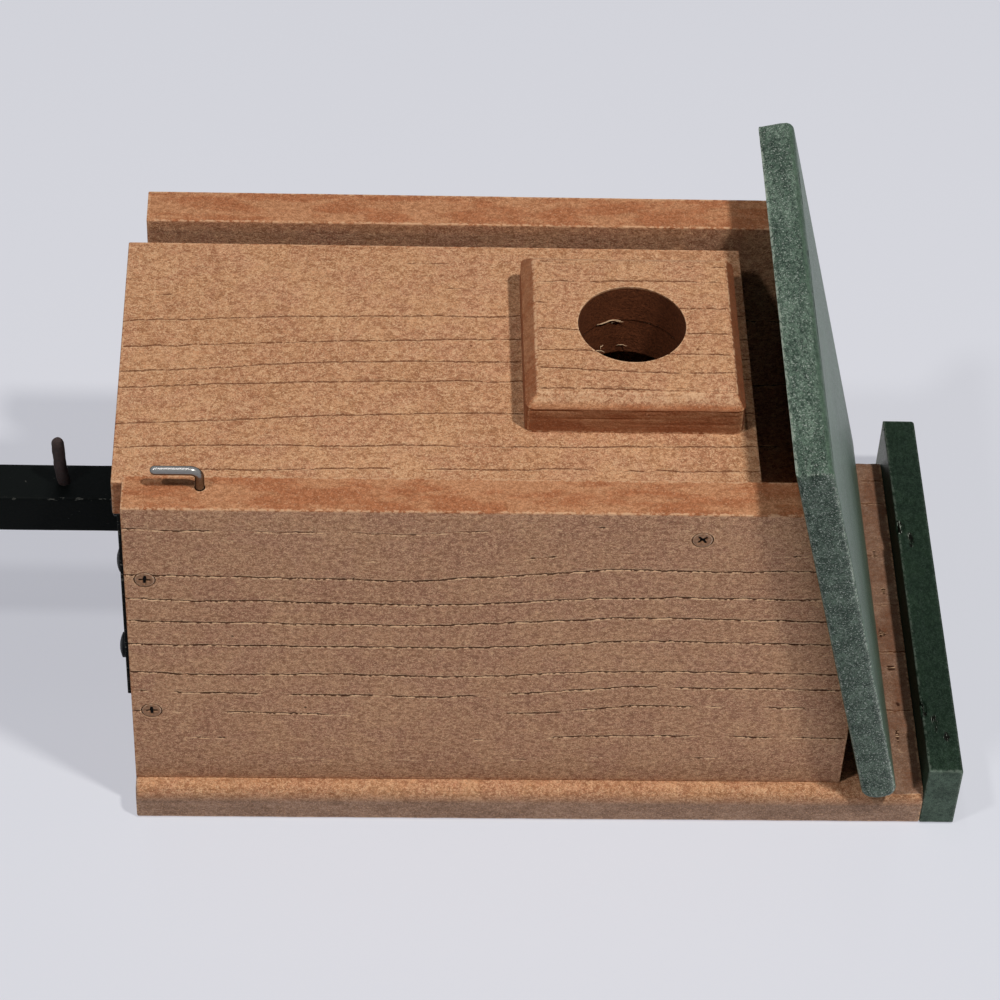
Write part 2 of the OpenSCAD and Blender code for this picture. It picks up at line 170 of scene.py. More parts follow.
class Board:
    """A board on a grid in its own mm: a across, b along the grain, c from its rear face.

    axes are the directions of a, b and c, and its size is its CAD node's along them. radii
    are the long corners': (a low, c low), (a high, c low), (a high, c high), (a low, c high).
    """

    def __init__(self, node, axes, radii=(0.5,) * 4, end_round=0.5, step=(2.0, 1.7),
                 fine=(0, 0.12, 0.35, 0.7, 1.2, 2.0), layer_step=2.6, seed=1):
        self.node, self.seed = node, seed
        turn = np.array([tuple(v) for v in axes])
        lo, hi = reach_along(node, turn)
        self.size = tuple((hi - lo) / MM)
        self.frame = Matrix.Translation(Vector(turn.T @ lo)) @ Matrix(turn.T.tolist()).to_4x4()
        self.radii, self.end_round = radii, end_round
        self.step, self.fine, self.layer_step = step, fine, layer_step
        self.front = self.back = self.top = None
        self.holes, self.chips, self.cutters = [], [], []
        self.rim, self.mouth = 0.8, 0.15    # wear on a hole's rim, and where its bore tone starts
        self.eased, self.planed = 0.0, False    # eased front corners in mm; long sides not sawn
        self.end_mark, self.painted_shade_from = 1.0, None   # the ends' sawn mark; height from which painted shade darkens the front face

    def columns(self):
        width = self.size[0]
        cols = set(spread(width, self.step[0], self.fine).tolist())
        for grain in (self.front, self.back):
            if grain is None:
                continue
            for line in grain.lines:
                cols = {c for c in cols if abs(c - line[0]) > NEAR * 1.2 or min(c, width - c) < 1.3}
                cols |= {round(line[0] + f, 4) for f in ACROSS}
        return np.array(sorted(c for c in cols if 0 <= c <= width))

    def warped(self, grain, cols, b):
        """Column places that follow the grain lines of a face."""
        if grain is None:
            return np.broadcast_to(cols[:, None], (len(cols), len(b))).copy()
        order = sorted(range(len(grain.lines)), key=lambda k: grain.lines[k][0])
        out = np.zeros((len(cols), len(b)))
        knots = [0.0]
        for k in order:
            knots += [grain.lines[k][0] - NEAR, grain.lines[k][0] + NEAR]
        knots.append(self.size[0])
        for j, bj in enumerate(b):
            shift = [0.0]
            for k in order:
                d = float(grain.path(k, bj)) - grain.lines[k][0]
                shift += [d, d]
            shift.append(0.0)
            out[:, j] = cols + np.interp(cols, knots, shift)
        return out

    def build_grid(self):
        width, length, thick = self.size
        cols, rows = self.columns(), spread(length, self.step[1], self.fine)
        layers = spread(thick, self.layer_step, self.fine[:6])
        na, nb, nc = len(cols), len(rows), len(layers)
        front_a = self.warped(self.front, cols, rows)
        back_a = self.warped(self.back, cols, rows)
        i, j, k = np.meshgrid(range(na), range(nb), range(nc), indexing="ij")
        shell = (i == 0) | (i == na - 1) | (j == 0) | (j == nb - 1) | (k == 0) | (k == nc - 1)
        index = np.full((na, nb, nc), -1)
        index[shell] = np.arange(shell.sum())
        si, sj, sk = i[shell], j[shell], k[shell]
        share = layers[sk] / thick
        a = front_a[si, sj] * share + back_a[si, sj] * (1 - share)
        self.p = np.stack([a, rows[sj], layers[sk]], 1)
        self.on = {"front": sk == nc - 1, "back": sk == 0, "low": si == 0, "high": si == na - 1,
                   "foot": sj == 0, "head": sj == nb - 1}
        quads = []

        def add(block, flip):
            q = np.stack([block[:-1, :-1], block[1:, :-1], block[1:, 1:], block[:-1, 1:]], -1)
            q = q.reshape(-1, 4)
            quads.append(q[:, ::-1] if flip else q)
        add(index[:, :, -1], False)
        add(index[:, :, 0], True)
        add(index[0, :, :], True)
        add(index[-1, :, :], False)
        add(index[:, 0, :], False)
        add(index[:, -1, :], True)
        self.quads = np.concatenate(quads)

    def top_at(self, a):
        return np.full(np.shape(a), float(self.size[1])) if self.top is None else self.top(a)

    def drill(self, point, way, radius, length, wobble=0.03, sides=48, steps=2, start=-2):
        """Cuts a round hole at a place in the frame, and marks its rim."""
        way = Vector(way)
        begin = Vector(point) + way * start * MM
        self.cutters.append(drill("cut", begin, way, radius * MM, length * MM, wobble,
                                  self.seed + len(self.cutters), sides, steps))
        inverse = self.frame.inverted()
        local = np.array(inverse @ Vector(point)) / MM
        axis = np.array(inverse.to_3x3() @ way)
        self.holes.append((local, axis, radius, radius * wobble * 0.5 + 0.06, length + start + 0.2))

    def shape(self, wear=0.5):
        """Rounds the corners unevenly, cuts the top end, and sinks the grain."""
        self.build_grid()
        width, length, thick = self.size
        a, b, c = self.p.T.copy()
        flat_a, flat_b = a.copy(), b.copy()
        radius = np.where(c < thick / 2,
                          np.where(a < width / 2, self.radii[0], self.radii[1]),
                          np.where(a < width / 2, self.radii[3], self.radii[2]))
        uneven = rough_noise(b / 7, a / 30 + c / 9, self.seed + 50)
        radius = radius * (1 - wear / 2 + wear * (uneven - 0.2))
        low_a, low_c = a < width / 2, c < thick / 2
        both, x, y, m, norm = in_corner(radius, np.where(low_a, a, width - a),
                                        np.where(low_c, c, thick - c))
        nx, ny = np.where(both, x / norm, 0), np.where(both, y / norm, 0)
        a = np.where(both, np.where(low_a, radius - nx * m, width - radius + nx * m), a)
        c = np.where(both, np.where(low_c, radius - ny * m, thick - radius + ny * m), c)
        gaps = np.stack([a, width - a, c, thick - c])
        inset = np.where(both, radius - m, gaps.min(0))
        nearest = gaps.argmin(0)
        in_a = np.where(both, np.where(low_a, nx, -nx), np.choose(nearest, [1, -1, 0, 0]))
        in_c = np.where(both, np.where(low_c, ny, -ny), np.choose(nearest, [0, 0, 1, -1]))
        uneven = rough_noise(a / 6, c / 6 + b / 40, self.seed + 60)
        end_r = self.end_round * (1 - wear / 2 + wear * uneven)
        gap = np.minimum(b, length - b)
        both, x, y, m, norm = in_corner(end_r, inset, gap)
        move = np.where(both, end_r - x * m / norm - inset, 0)
        a, c = a + in_a * move, c + in_c * move
        new_gap = np.where(both, end_r - y * m / norm, gap)
        b = np.where(b < length / 2, new_gap, length - new_gap)
        for side, grain, sign in (("front", self.front, -1), ("back", self.back, 1)):
            if grain is not None:
                c = c + np.where(self.on[side], sign * grain.depth(flat_a, flat_b), 0)
        b = b * self.top_at(a) / length
        self.p = np.stack([a, b, c], 1)
        return self

    def chipped(self, p):
        """How far into a chip or gouge points are, from 0 to 1, and how deep in mm."""
        share, deep = np.zeros(len(p)), np.zeros(len(p))
        for n, (centre, reach, depth) in enumerate(self.chips):
            d = np.sqrt((((p - np.array(centre)) / np.array(reach)) ** 2).sum(1))
            ragged = 0.6 + 0.75 * rough_noise(p[:, 0] / 1.7 + p[:, 2] / 2, p[:, 1] / 2.3,
                                              self.seed + 70 + n)
            fall = np.clip(1 - d / ragged, 0, 1) ** 0.7
            share = np.maximum(share, fall)
            deep = np.maximum(deep, fall * depth)
        return share, deep

    def chip(self, *chips):
        """Sinks chips, each (centre, reach, depth) in mm, towards the board's core."""
        self.chips = list(chips)
        share, deep = self.chipped(self.p)
        width, length, thick = self.size
        core = np.stack([np.clip(self.p[:, 0], thick / 2, width - thick / 2),
                         np.clip(self.p[:, 1], thick / 2, length - thick / 2),
                         np.full(len(self.p), thick / 2)], 1)
        inward = core - self.p
        inward /= np.linalg.norm(inward, axis=1)[:, None] + 1e-9
        self.p = self.p + inward * deep[:, None]
        return self

    def make(self, material, body, slot, sharp=40):
        """The finished mesh object, with holes cut and its attributes set."""
        matrix = np.array(self.frame)
        world = (self.p * MM) @ matrix[:3, :3].T + matrix[:3, 3]
        thing = new_object(self.node + "_piece", world.tolist(), self.quads.tolist())
        if self.cutters:
            cut_holes(thing, self.cutters)
        self.mark(thing)
        return finish_piece(thing, material, body, self.node, sharp)

    def marks(self, a, b, c):
        """How far points are in a grain line, on a corner, on a sawn side and in a chip."""
        width, length, thick = self.size
        top = self.top_at(a)
        gaps = np.sort(np.stack([a, width - a, b, top - b, c, thick - c]), 0)
        corner = np.clip(1 - np.hypot(gaps[0], gaps[1]) / 1.6, 0, 1)
        across, strength = np.full(len(a), NEAR), np.zeros(len(a))
        for grain, gap in ((self.front, thick - c), (self.back, c)):
            if grain is not None:
                d, much = grain.near(a, b * length / top)
                here = (gap < GROOVE_D + 0.15) & (much > 0)
                across, strength = np.where(here, d, across), np.where(here, much, strength)
        sawn = self.end_mark * (1 - smooth(0.3, 0.95, np.minimum(b, top - b)))
        if not self.planed:
            below = smooth(self.eased - 0.6, self.eased + 0.4, thick - c) if self.eased else 1
            sawn = np.maximum(sawn, below * (1 - smooth(0.3, 0.95, np.minimum(a, width - a))))
        # painted shade: from this height up, the front face between the roof and the cap gets a
        # patchy, darker, browner tone
        if self.painted_shade_from:
            patchy = 1.28 + 0.36 * rough_noise(a / 9, b / 4, self.seed + 80)
            above = smooth(self.painted_shade_from - 1.5, self.painted_shade_from + 1.5, b) * (thick - c < 1.0)
            sawn = np.maximum(sawn, patchy * above)
        place = np.stack([a, b, c], 1)
        chip = self.chipped(place)[0]
        for centre, axis, r, slack, bottom in self.holes:
            away = place - centre
            along = away @ axis
            d = np.linalg.norm(away - along[:, None] * axis, axis=1)
            rim = np.clip(1 - np.abs(d - r) / 0.7, 0, 1) * (np.abs(along) < 0.6)
            corner = np.maximum(corner, self.rim * rim)
            sawn = np.where((d < r + slack) & (along > self.mouth) & (along < bottom), BORED, sawn)
            if self.mouth < 0:
                chip = np.where((np.abs(d - r) < 0.5) & (np.abs(along) < 0.1), 0.6, chip)
        return {"across": across, "strength": strength, "groove": np.zeros(len(a)),
                "corner": corner, "sawn": sawn, "chip": chip}

    def mark(self, thing):
        """Writes the marks as vertex attributes, for the material."""
        matrix = np.array(self.frame.inverted())
        local = (points_of(thing.data) @ matrix[:3, :3].T + matrix[:3, 3]) / MM
        write_marks(thing.data, self.marks(*local.T))


def cut_holes(thing, cutters):
    """Takes the cutter meshes away from a mesh, then removes them."""
    for cutter in cutters:
        bpy.context.scene.collection.objects.link(cutter)
        hole = thing.modifiers.new("hole", "BOOLEAN")
        hole.operation, hole.object = "DIFFERENCE", cutter
        hole.solver = "EXACT"
    bpy.context.view_layer.update()
    result = bpy.data.meshes.new_from_object(
        thing.evaluated_get(bpy.context.evaluated_depsgraph_get()))
    thing.modifiers.clear()
    thing.data = result
    for cutter in cutters:
        bpy.data.objects.remove(cutter)


def new_object(name, points, faces, link=True):
    mesh = bpy.data.meshes.new(name)
    mesh.from_pydata(points, [], faces)
    mesh.update()
    thing = bpy.data.objects.new(name, mesh)
    if link:
        bpy.context.scene.collection.objects.link(thing)
    return thing


def write_marks(mesh, marks):
    """Writes values at the points as attributes, for the materials."""
    for name, values in marks.items():
        layer = mesh.attributes.new(name, "FLOAT", "POINT")
        layer.data.foreach_set("value", np.asarray(values, np.float32).reshape(-1))


def finish_piece(thing, material, body, node=None, sharp=40):
    mesh = thing.data
    mesh.materials.clear()
    mesh.materials.append(material)
    mesh.polygons.foreach_set("material_index", [0] * len(mesh.polygons))
    mesh.polygons.foreach_set("use_smooth", [True] * len(mesh.polygons))
    mesh.set_sharp_from_angle(angle=math.radians(sharp))
    mesh.update()
    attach(thing, body)
    if node:
        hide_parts(*([node] if isinstance(node, str) else node))
    return thing


def ring_faces(rings, sides):
    """The faces of a closed skin over rings of points."""
    faces = []
    for n in range(rings - 1):
        for t in range(sides):
            u = (t + 1) % sides
            faces.append([n * sides + t, n * sides + u, (n + 1) * sides + u, (n + 1) * sides + t])
    faces.append(list(range(sides))[::-1])
    faces.append([(rings - 1) * sides + t for t in range(sides)])
    return faces


def tube(name, path, radii, sides=24, wobble=0.0, seed=1, link=True):
    """A closed tube along points in metres, with a radius at each."""
    path, radii = np.array(path, float), np.array(radii, float)
    ways = np.gradient(path, axis=0)
    ways /= np.linalg.norm(ways, axis=1)[:, None]
    start = np.cross(ways[0], [0, 0, 1.0])
    if np.linalg.norm(start) < 0.1:
        start = np.cross(ways[0], [1.0, 0, 0])
    verts, side = [], start / np.linalg.norm(start)
    turns = np.linspace(0, 2 * math.pi, sides, endpoint=False)
    for n, (point, way, radius) in enumerate(zip(path, ways, radii)):
        side = side - way * side.dot(way)
        side /= np.linalg.norm(side)
        other = np.cross(way, side)
        r = radius * (1 + wobble * (rough_noise(turns * 1.6, n * 0.7, seed) - 0.5))
        ring = np.outer(np.cos(turns) * r, side), np.outer(np.sin(turns) * r, other)
        verts += list(point + ring[0] + ring[1])
    return new_object(name, [v.tolist() for v in verts], ring_faces(len(path), sides), link)


def drill(name, start, way, radius, length, wobble=0.0, seed=1, sides=64, steps=2):
    """A cutter: a cylinder from start along way, in metres."""
    start, way = Vector(start), Vector(way).normalized()
    path = [start + way * length * s / steps for s in range(steps + 1)]
    return tube(name, path, [radius] * len(path), sides, wobble, seed, link=False)


# ---- materials

def srgb(r, g, b):
    return tuple(v / 255 / 12.92 if v < 10.4 else ((v / 255 + 0.055) / 1.055) ** 2.4
                 for v in (r, g, b)) + (1.0,)


def feed(tree, socket, value):
    """Links value to a socket if it is one itself, or sets it."""
    if isinstance(value, bpy.types.NodeSocket):
        tree.links.new(value, socket)
    elif value is not None:
        socket.default_value = value


def put(tree, kind, *sources, **values):
    """A new node, with its first inputs fed in order."""
    node = tree.nodes.new(kind)
    for key, value in values.items():
        setattr(node, key, value)
    for socket, source in zip(node.inputs, sources):
        feed(tree, socket, source)
    return node


class Look:
    """A node material, built from the shader backwards."""

    def __init__(self, name, **sockets):
        self.material = bpy.data.materials.new(name)
        self.material.use_nodes = True
        self.tree = self.material.node_tree
        self.shader = self.tree.nodes["Principled BSDF"]
        for key, value in sockets.items():
            self.shader.inputs[key.replace("_", " ")].default_value = value
        self.mm = self.vector("SCALE", self.put("ShaderNodeTexCoord").outputs["Object"])
        self.mm.node.inputs["Scale"].default_value = 1000

    def put(self, kind, *sources, **values):
        return put(self.tree, kind, *sources, **values)

    def vector(self, kind, a, b=None):
        return self.put("ShaderNodeVectorMath", a, b, operation=kind).outputs["Vector"]

    def math(self, kind, a, b=None):
        return self.put("ShaderNodeMath", a, b, operation=kind).outputs[0]

    def times(self, a, b):
        return self.math("MULTIPLY", a, b)

    def plus(self, total, *others):
        for other in others:
            total = self.math("ADD", total, other)
        return total

    def off(self, value, middle):
        """How far value is from middle."""
        return self.math("ABSOLUTE", self.math("SUBTRACT", value, middle))

    def mix(self, share, a, b, kind="MIX"):
        unused = [None] * 5         # a Mix node's sockets for plain numbers and vectors
        return self.put("ShaderNodeMix", share, *unused, a, b, data_type="RGBA",
                        blend_type=kind).outputs[2]

    def between(self, value, low, high, out=(0, 1)):
        """value mapped smoothly from low..high to the two out values."""
        return self.put("ShaderNodeMapRange", value, low, high, *out,
                        interpolation_type="SMOOTHSTEP").outputs[0]

    def noise(self, scale, detail=2.0, rough=0.5, warp=0.0, stretch=None, turn=None, shift=0.0):
        """Noise with cells of 1 / scale mm; stretch scales the axes and turn rotates them."""
        where = self.mm
        if turn is not None:
            node = self.put("ShaderNodeVectorRotate", where, rotation_type="EULER_XYZ")
            node.inputs["Rotation"].default_value = turn
            where = node.outputs[0]
        if stretch is not None:
            where = self.vector("MULTIPLY", where, stretch)
        if shift:
            where = self.vector("ADD", where, (shift, shift * 1.7, shift * 0.6))
        node = self.put("ShaderNodeTexNoise", where)
        for key, value in (("Scale", scale), ("Detail", detail), ("Roughness", rough),
                           ("Distortion", warp)):
            node.inputs[key].default_value = value
        return node.outputs["Fac"]

    def away_from_dots(self, scale):
        """Distance to the nearest of some scattered dots, one in each cell of 1 / scale mm."""
        node = self.put("ShaderNodeTexVoronoi", self.mm)
        node.inputs["Scale"].default_value = scale
        return node.outputs["Distance"]

    def attribute(self, name):
        return self.put("ShaderNodeAttribute", attribute_name=name).outputs["Fac"]

    def finish(self, colour, rough, height, distance):
        """The finished material; height and distance are its bump."""
        bump = self.put("ShaderNodeBump")
        for node, key, value in ((self.shader, "Base Color", colour),
                                 (self.shader, "Roughness", rough), (bump, "Strength", 1.0),
                                 (bump, "Distance", distance), (bump, "Height", height),
                                 (self.shader, "Normal", bump.outputs["Normal"])):
            feed(self.tree, node.inputs[key], value)
        return self.material


GRAIN_Z, GRAIN_X = (1, 1, 0.72), (0.72, 1, 1)


def board_look(name, tones, along=GRAIN_Z, shift=0.0):
    """The composite board: mottled fibres, dark broken grain lines with pale lips (a painted
    highlight along one side of each), ragged pale corners, sawn sides and ends, and darker drilled
    holes."""
    look = Look(name, Specular_IOR_Level=tones["shine"])
    streak, dashes, clouds = (tuple(share if v < 1 else 1 for v in along)
                              for share in (0.05, 0.2, 0.35))

    def noise(scale, detail, rough, warp, place, **ways):
        return look.noise(scale, detail, rough, warp, shift=shift + place, **ways)

    blotch = noise(0.07, 3, 0.6, 0.4, 3)
    broad = noise(0.03, 2, 0.5, 0, 11, stretch=along)
    mottle = noise(0.6, 3, 0.65, 0.5, 0, stretch=along)
    fibre = noise(1.2, 3, 0.75, 0.9, 21, stretch=along)
    thread = noise(0.6, 1, 0.5, 1.2, 41, turn=(0.3, 0.5, 0.4))
    second = noise(0.85, 1, 0.5, 1.5, 161, turn=(1.1, 0.2, 0.8))
    fine = noise(2.3, 2, 0.75, 0.4, 101)
    lines = noise(0.9, 2, 0.5, 0.2, 61, stretch=streak)
    sawn = look.attribute("sawn")

    # the face
    body = look.mix(look.between(blotch, 0.4, 0.62), tones["base"], tones["warm"])
    body = look.mix(look.between(broad, 0.4, 0.7, (0, 0.4)), body, tones["deep"])
    body = look.mix(look.between(lines, 0.56, 0.72, (0, tones["streaks"])), body, tones["dark"])
    shade = look.plus(look.times(fine, 0.33), look.times(fibre, 0.37), look.times(mottle, 0.3))
    share = look.between(shade, 0.4, 0.62)
    body = look.mix(1.0, body, look.mix(share, *tones["shade"]), "MULTIPLY")
    curl = look.between(look.off(thread, 0.5), 0.045, 0.01)
    other = look.between(look.off(second, 0.52), 0.05, 0.012)
    curl = look.math("MAXIMUM", look.times(curl, look.between(fibre, 0.4, 0.54)),
                     look.times(other, look.between(mottle, 0.42, 0.55)))
    body = look.mix(look.times(curl, tones["flecks"]), body, tones["fleck"])

    # sawn sides and ends, and drilled holes
    cloud = noise(0.16, 3, 0.6, 0.3, 151, stretch=clouds)
    end = look.mix(look.between(cloud, 0.4, 0.6), tones["sawn"], tones["sawn_deep"])
    end = look.mix(1.0, end, look.mix(share, *tones["end_shade"]), "MULTIPLY")
    grit = look.between(noise(tones["grain"], 2, 0.65, 0.8, 51), 0.56, 0.66)
    much = look.between(sawn, 1.0, 1.3, (tones["grit"], tones["end_grit"]))
    end = look.mix(look.times(grit, much), end, tones["speck"])
    face = look.mix(sawn, body, end)
    hole = look.mix(look.between(fibre, 0.35, 0.65), tones["bore"], tones["bore_deep"])
    face = look.mix(look.between(sawn, 1.2, 1.8), face, hole)
    dot = look.between(look.away_from_dots(0.035), 0.026, 0.014)
    face = look.mix(look.times(dot, 0.8), face, tones["line"])

    # grain lines, which wander off the sunk ones, and their lips, a painted highlight along one
    # side
    wander = noise(0.22, 1, 0.5, 0, 111)
    jog = noise(0.85, 2, 0.6, 0, 121, stretch=along)
    off = look.plus(look.times(look.math("SUBTRACT", jog, 0.5), 1.5),
                    look.times(look.math("SUBTRACT", wander, 0.5), 0.9))
    signed = look.plus(look.attribute("across"), off)
    apart = look.math("ABSOLUTE", signed)
    strength = look.attribute("strength")
    broken = noise(0.8, 3, 0.6, 0, 131, stretch=dashes)
    dash = look.between(look.math("SUBTRACT", look.times(strength, 0.64), broken), -0.08, 0.07)
    line = look.times(look.between(apart, tones["width"], tones["width"] * 0.35), dash)
    line = look.math("MAXIMUM", line, look.between(look.attribute("groove"), 0.15, 0.7))
    # painted highlight: the lip is a pale line beside each grain line, stronger on one side
    painted_lip_highlight = look.times(look.between(apart, 0.26, 0.44), look.between(apart, 1.0, 0.68))
    painted_lip_highlight = look.times(painted_lip_highlight, look.between(signed, -0.4, 0.2, (0.3, 1)))
    patch = look.times(look.between(strength, 0.2, 0.5), look.between(jog, 0.44, 0.53))
    painted_lip_highlight = look.times(painted_lip_highlight, patch)
    face = look.mix(look.times(painted_lip_highlight, tones["painted_lip_highlight"]), face, tones["fleck"])
    face = look.mix(look.times(line, tones["ink"]), face, tones["line"])

    # worn corners and chips
    rag = noise(0.75, 3, 0.7, 0, 81, stretch=along)
    worn = look.times(look.attribute("corner"), look.between(rag, 0.36, 0.62, (0.1, 1.25)))
    face = look.mix(look.between(worn, 0.25, 0.8, (0, tones["wear"])), face, tones["rim"])
    chip = look.attribute("chip")
    hair = noise(2.2, 2, 0.6, 0, 91, stretch=streak)
    core = look.mix(look.between(hair, 0.56, 0.64), tones["chip"], tones["rim"])
    face = look.mix(look.between(chip, 0.15, 0.4), face, core)

    reliefs = ((fibre, 0.9), (thread, 0.7), (mottle, 0.6), (fine, 0.6), (lines, -0.4), (line, -0.9))
    height = look.plus(*(look.times(part, much) for part, much in reliefs),
                       look.times(hair, look.times(chip, 3.0)))
    rough = look.between(mottle, 0.3, 0.7, tones["rough"])
    return look.finish(face, rough, height, tones["relief"])


def tint(r, g, b):
    return (r, g, b, 1.0)


BROWN = dict(base=srgb(186, 135, 97), warm=srgb(178, 125, 92), deep=srgb(164, 111, 76),
             dark=srgb(140, 96, 66), fleck=srgb(230, 190, 150), line=srgb(106, 62, 36),
             sawn=srgb(186, 131, 93), sawn_deep=srgb(168, 106, 70), speck=srgb(220, 172, 136),
             bore=srgb(126, 72, 44), bore_deep=srgb(88, 48, 28),
             rim=srgb(224, 182, 144), chip=srgb(60, 32, 18),
             shade=(tint(.67, .62, .57), tint(1.36, 1.4, 1.46)),
             end_shade=(tint(.67, .61, .55), tint(1.32, 1.38, 1.46)), grain=1.5, width=0.42,
             streaks=0.15, flecks=0.72, grit=0.45, end_grit=0.45, wear=0.65, painted_lip_highlight=0.35, ink=0.72,
             shine=0.14, rough=(0.72, 0.9), relief=0.00022)
BACK = dict(BROWN, sawn=srgb(160, 128, 106), sawn_deep=srgb(144, 114, 94))
# painted shade and highlight: the side boards' copy of BROWN has a darker base and darker grain
# lines (painted shade) and stronger pale lips (painted highlight)
SIDE = dict(BROWN, line=srgb(54, 26, 12), painted_lip_highlight=0.9, ink=0.88, width=0.46, base=srgb(176, 130, 98),
            warm=srgb(168, 121, 94), deep=srgb(155, 108, 83))
ROOF = dict(base=srgb(80, 101, 84), warm=srgb(72, 91, 75), deep=srgb(57, 74, 61),
            dark=srgb(36, 50, 42), fleck=srgb(120, 138, 126), line=srgb(16, 22, 18),
            sawn=srgb(86, 104, 91), sawn_deep=srgb(61, 78, 67), speck=srgb(202, 210, 200),
            bore=srgb(40, 54, 46), bore_deep=srgb(28, 38, 32),
            rim=srgb(170, 180, 166), chip=srgb(14, 14, 10),
            shade=(tint(.62, .64, .64), tint(1.38, 1.36, 1.34)),
            end_shade=(tint(.3, .33, .33), tint(1.9, 1.8, 1.8)), grain=1.7, width=0.5,
            streaks=0.4, flecks=0.25, grit=0.5, end_grit=0.85, wear=0.6, painted_lip_highlight=0.5, ink=0.9,
            shine=0.07, rough=(0.28, 0.4), relief=0.00012)
CAP = dict(ROOF, base=srgb(35, 51, 38), warm=srgb(32, 47, 36), deep=srgb(25, 38, 29),
           sawn=srgb(78, 94, 82), sawn_deep=srgb(62, 76, 66), grit=0.15, end_grit=0.15,
           end_shade=(tint(.6, .62, .62), tint(1.4, 1.38, 1.36)),
           speck=srgb(120, 136, 122), wear=0.16, shine=0.04, rough=(0.5, 0.65), flecks=0.12,
           painted_lip_highlight=0.2)


def metal_looks():
    """The materials of the metal parts, and of the splinters in the entrance hole."""
    out = {}
    look = Look("black_paint", Specular_IOR_Level=0.04)
    pebble = look.noise(0.9, 3, 0.6)
    scuff = look.noise(0.6, 4, 0.75, 0.5, stretch=(1, 1, 0.4), shift=7)
    edge = look.times(look.attribute("corner"), look.between(scuff, 0.5, 0.7, (0.0, 1.2)))
    spots = look.between(look.noise(0.5, 4, 0.75, shift=17), 0.66, 0.72, (0, 0.8))
    worn = look.math("MAXIMUM", look.between(edge, 0.25, 0.6, (0, 0.9)), look.times(spots, 0.5))
    tone = look.mix(pebble, srgb(8, 11, 10), srgb(14, 17, 16))
    out["paint"] = look.finish(look.mix(worn, tone, srgb(104, 104, 98)),
                               look.between(pebble, 0.3, 0.7, (0.42, 0.62)), pebble, 0.00012)
    look = Look("black_coating", Specular_IOR_Level=0.12)
    grain = look.noise(1.8, 3, 0.6)
    tone = look.mix(look.between(grain, 0.6, 0.72, (0, 0.5)), srgb(14, 15, 16), srgb(60, 58, 55))
    out["coating"] = look.finish(tone, look.between(grain, 0.3, 0.7, (0.38, 0.58)), grain, 0.00008)
    look = Look("zinc", Metallic=1.0, Specular_Tint=srgb(110, 108, 104))
    cloud = look.noise(0.5, 4, 0.65)
    rub = look.noise(1.4, 3, 0.6, stretch=(4, 4, 0.3), shift=5)
    tone = look.mix(cloud, srgb(146, 143, 139), srgb(124, 121, 117))
    tone = look.mix(look.between(rub, 0.55, 0.72, (0, 0.6)), tone, srgb(80, 76, 70))
    out["zinc"] = look.finish(tone, look.between(cloud, 0.3, 0.7, (0.2, 0.27)), rub, 0.00002)
    look = Look("rust", Metallic=0.15)
    scab = look.noise(0.8, 5, 0.7, 0.4)
    fine = look.noise(3.0, 3, 0.7, shift=9)
    tone = look.mix(look.between(scab, 0.35, 0.6), srgb(26, 16, 15), srgb(50, 33, 29))
    tone = look.mix(look.between(fine, 0.58, 0.7, (0, 0.5)), tone, srgb(88, 58, 48))
    out["rust"] = look.finish(tone, look.between(scab, 0.3, 0.7, (0.6, 0.88)),
                              look.plus(scab, look.times(fine, 0.4)), 0.0004)
    look = Look("tan_coating", Specular_IOR_Level=0.15)
    rub = look.noise(1.1, 4, 0.7)
    tone = look.mix(look.between(rub, 0.35, 0.65), srgb(164, 124, 94), srgb(126, 90, 64))
    worn = look.times(look.attribute("corner"), look.between(rub, 0.4, 0.6, (0.35, 1)))
    tone = look.mix(look.between(worn, 0.2, 0.8, (0, 0.7)), tone, srgb(214, 184, 156))
    # painted shade: the cross recess is coloured near black
    tone = look.mix(look.between(look.attribute("recess"), 0.3, 0.8), tone, srgb(9, 5, 3))
    out["tan"] = look.finish(tone, look.between(rub, 0.3, 0.7, (0.4, 0.6)), rub, 0.0001)
    look = Look("splinter")
    grain = look.noise(1.5, 3, 0.6)
    tone = look.mix(grain, srgb(226, 196, 160), srgb(190, 150, 112))
    out["splinter"] = look.finish(tone, look.between(grain, 0.3, 0.7, (0.6, 0.85)), grain, 0.0001)
    return out


metals = metal_looks()
brown = board_look("brown_board", BROWN)
# the side boards' material, a copy with painted shade
brown_side_shaded = board_look("brown_side_shaded", SIDE, shift=140.0)
brown_back = board_look("brown_back", BACK, shift=260.0)
brown_floor = board_look("brown_floor", BROWN, along=GRAIN_X, shift=380.0)
green = board_look("green_board", ROOF, along=GRAIN_X)
green_cap = board_look("green_cap", CAP, along=GRAIN_X, shift=90.0)


# ---- the boards

X, Y, Z = Vector((1, 0, 0)), Vector((0, 1, 0)), Vector((0, 0, 1))
HEAD_R = 3.85       # the radius of a screw head's recess, in mm
HEAD_SHARE = 0.87   # a head's radius, as a share of its CAD node's


def middle(node):
    lo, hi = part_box(node)
    return (lo + hi) / 2


_, back_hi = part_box("back_board")
side_lo, side_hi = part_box("right_side")
ROOF_SLOPE = math.radians(13.8)
SIDE_FRONT = 231.0      # height of a side board's front edge, in mm
front_top = side_lo.z + SIDE_FRONT * MM
hook_joint = next(j for j in frame["joints"] if j["name"] == "latch_turn")
hook_x, _, hook_z = hook_joint["pos_m"]
bore = middle("guard_block")
BORE_R = 19.05          # the entrance hole's radius, in mm
BORE_CUT = dict(length=30, wobble=0.008, sides=120, steps=26, start=-6)

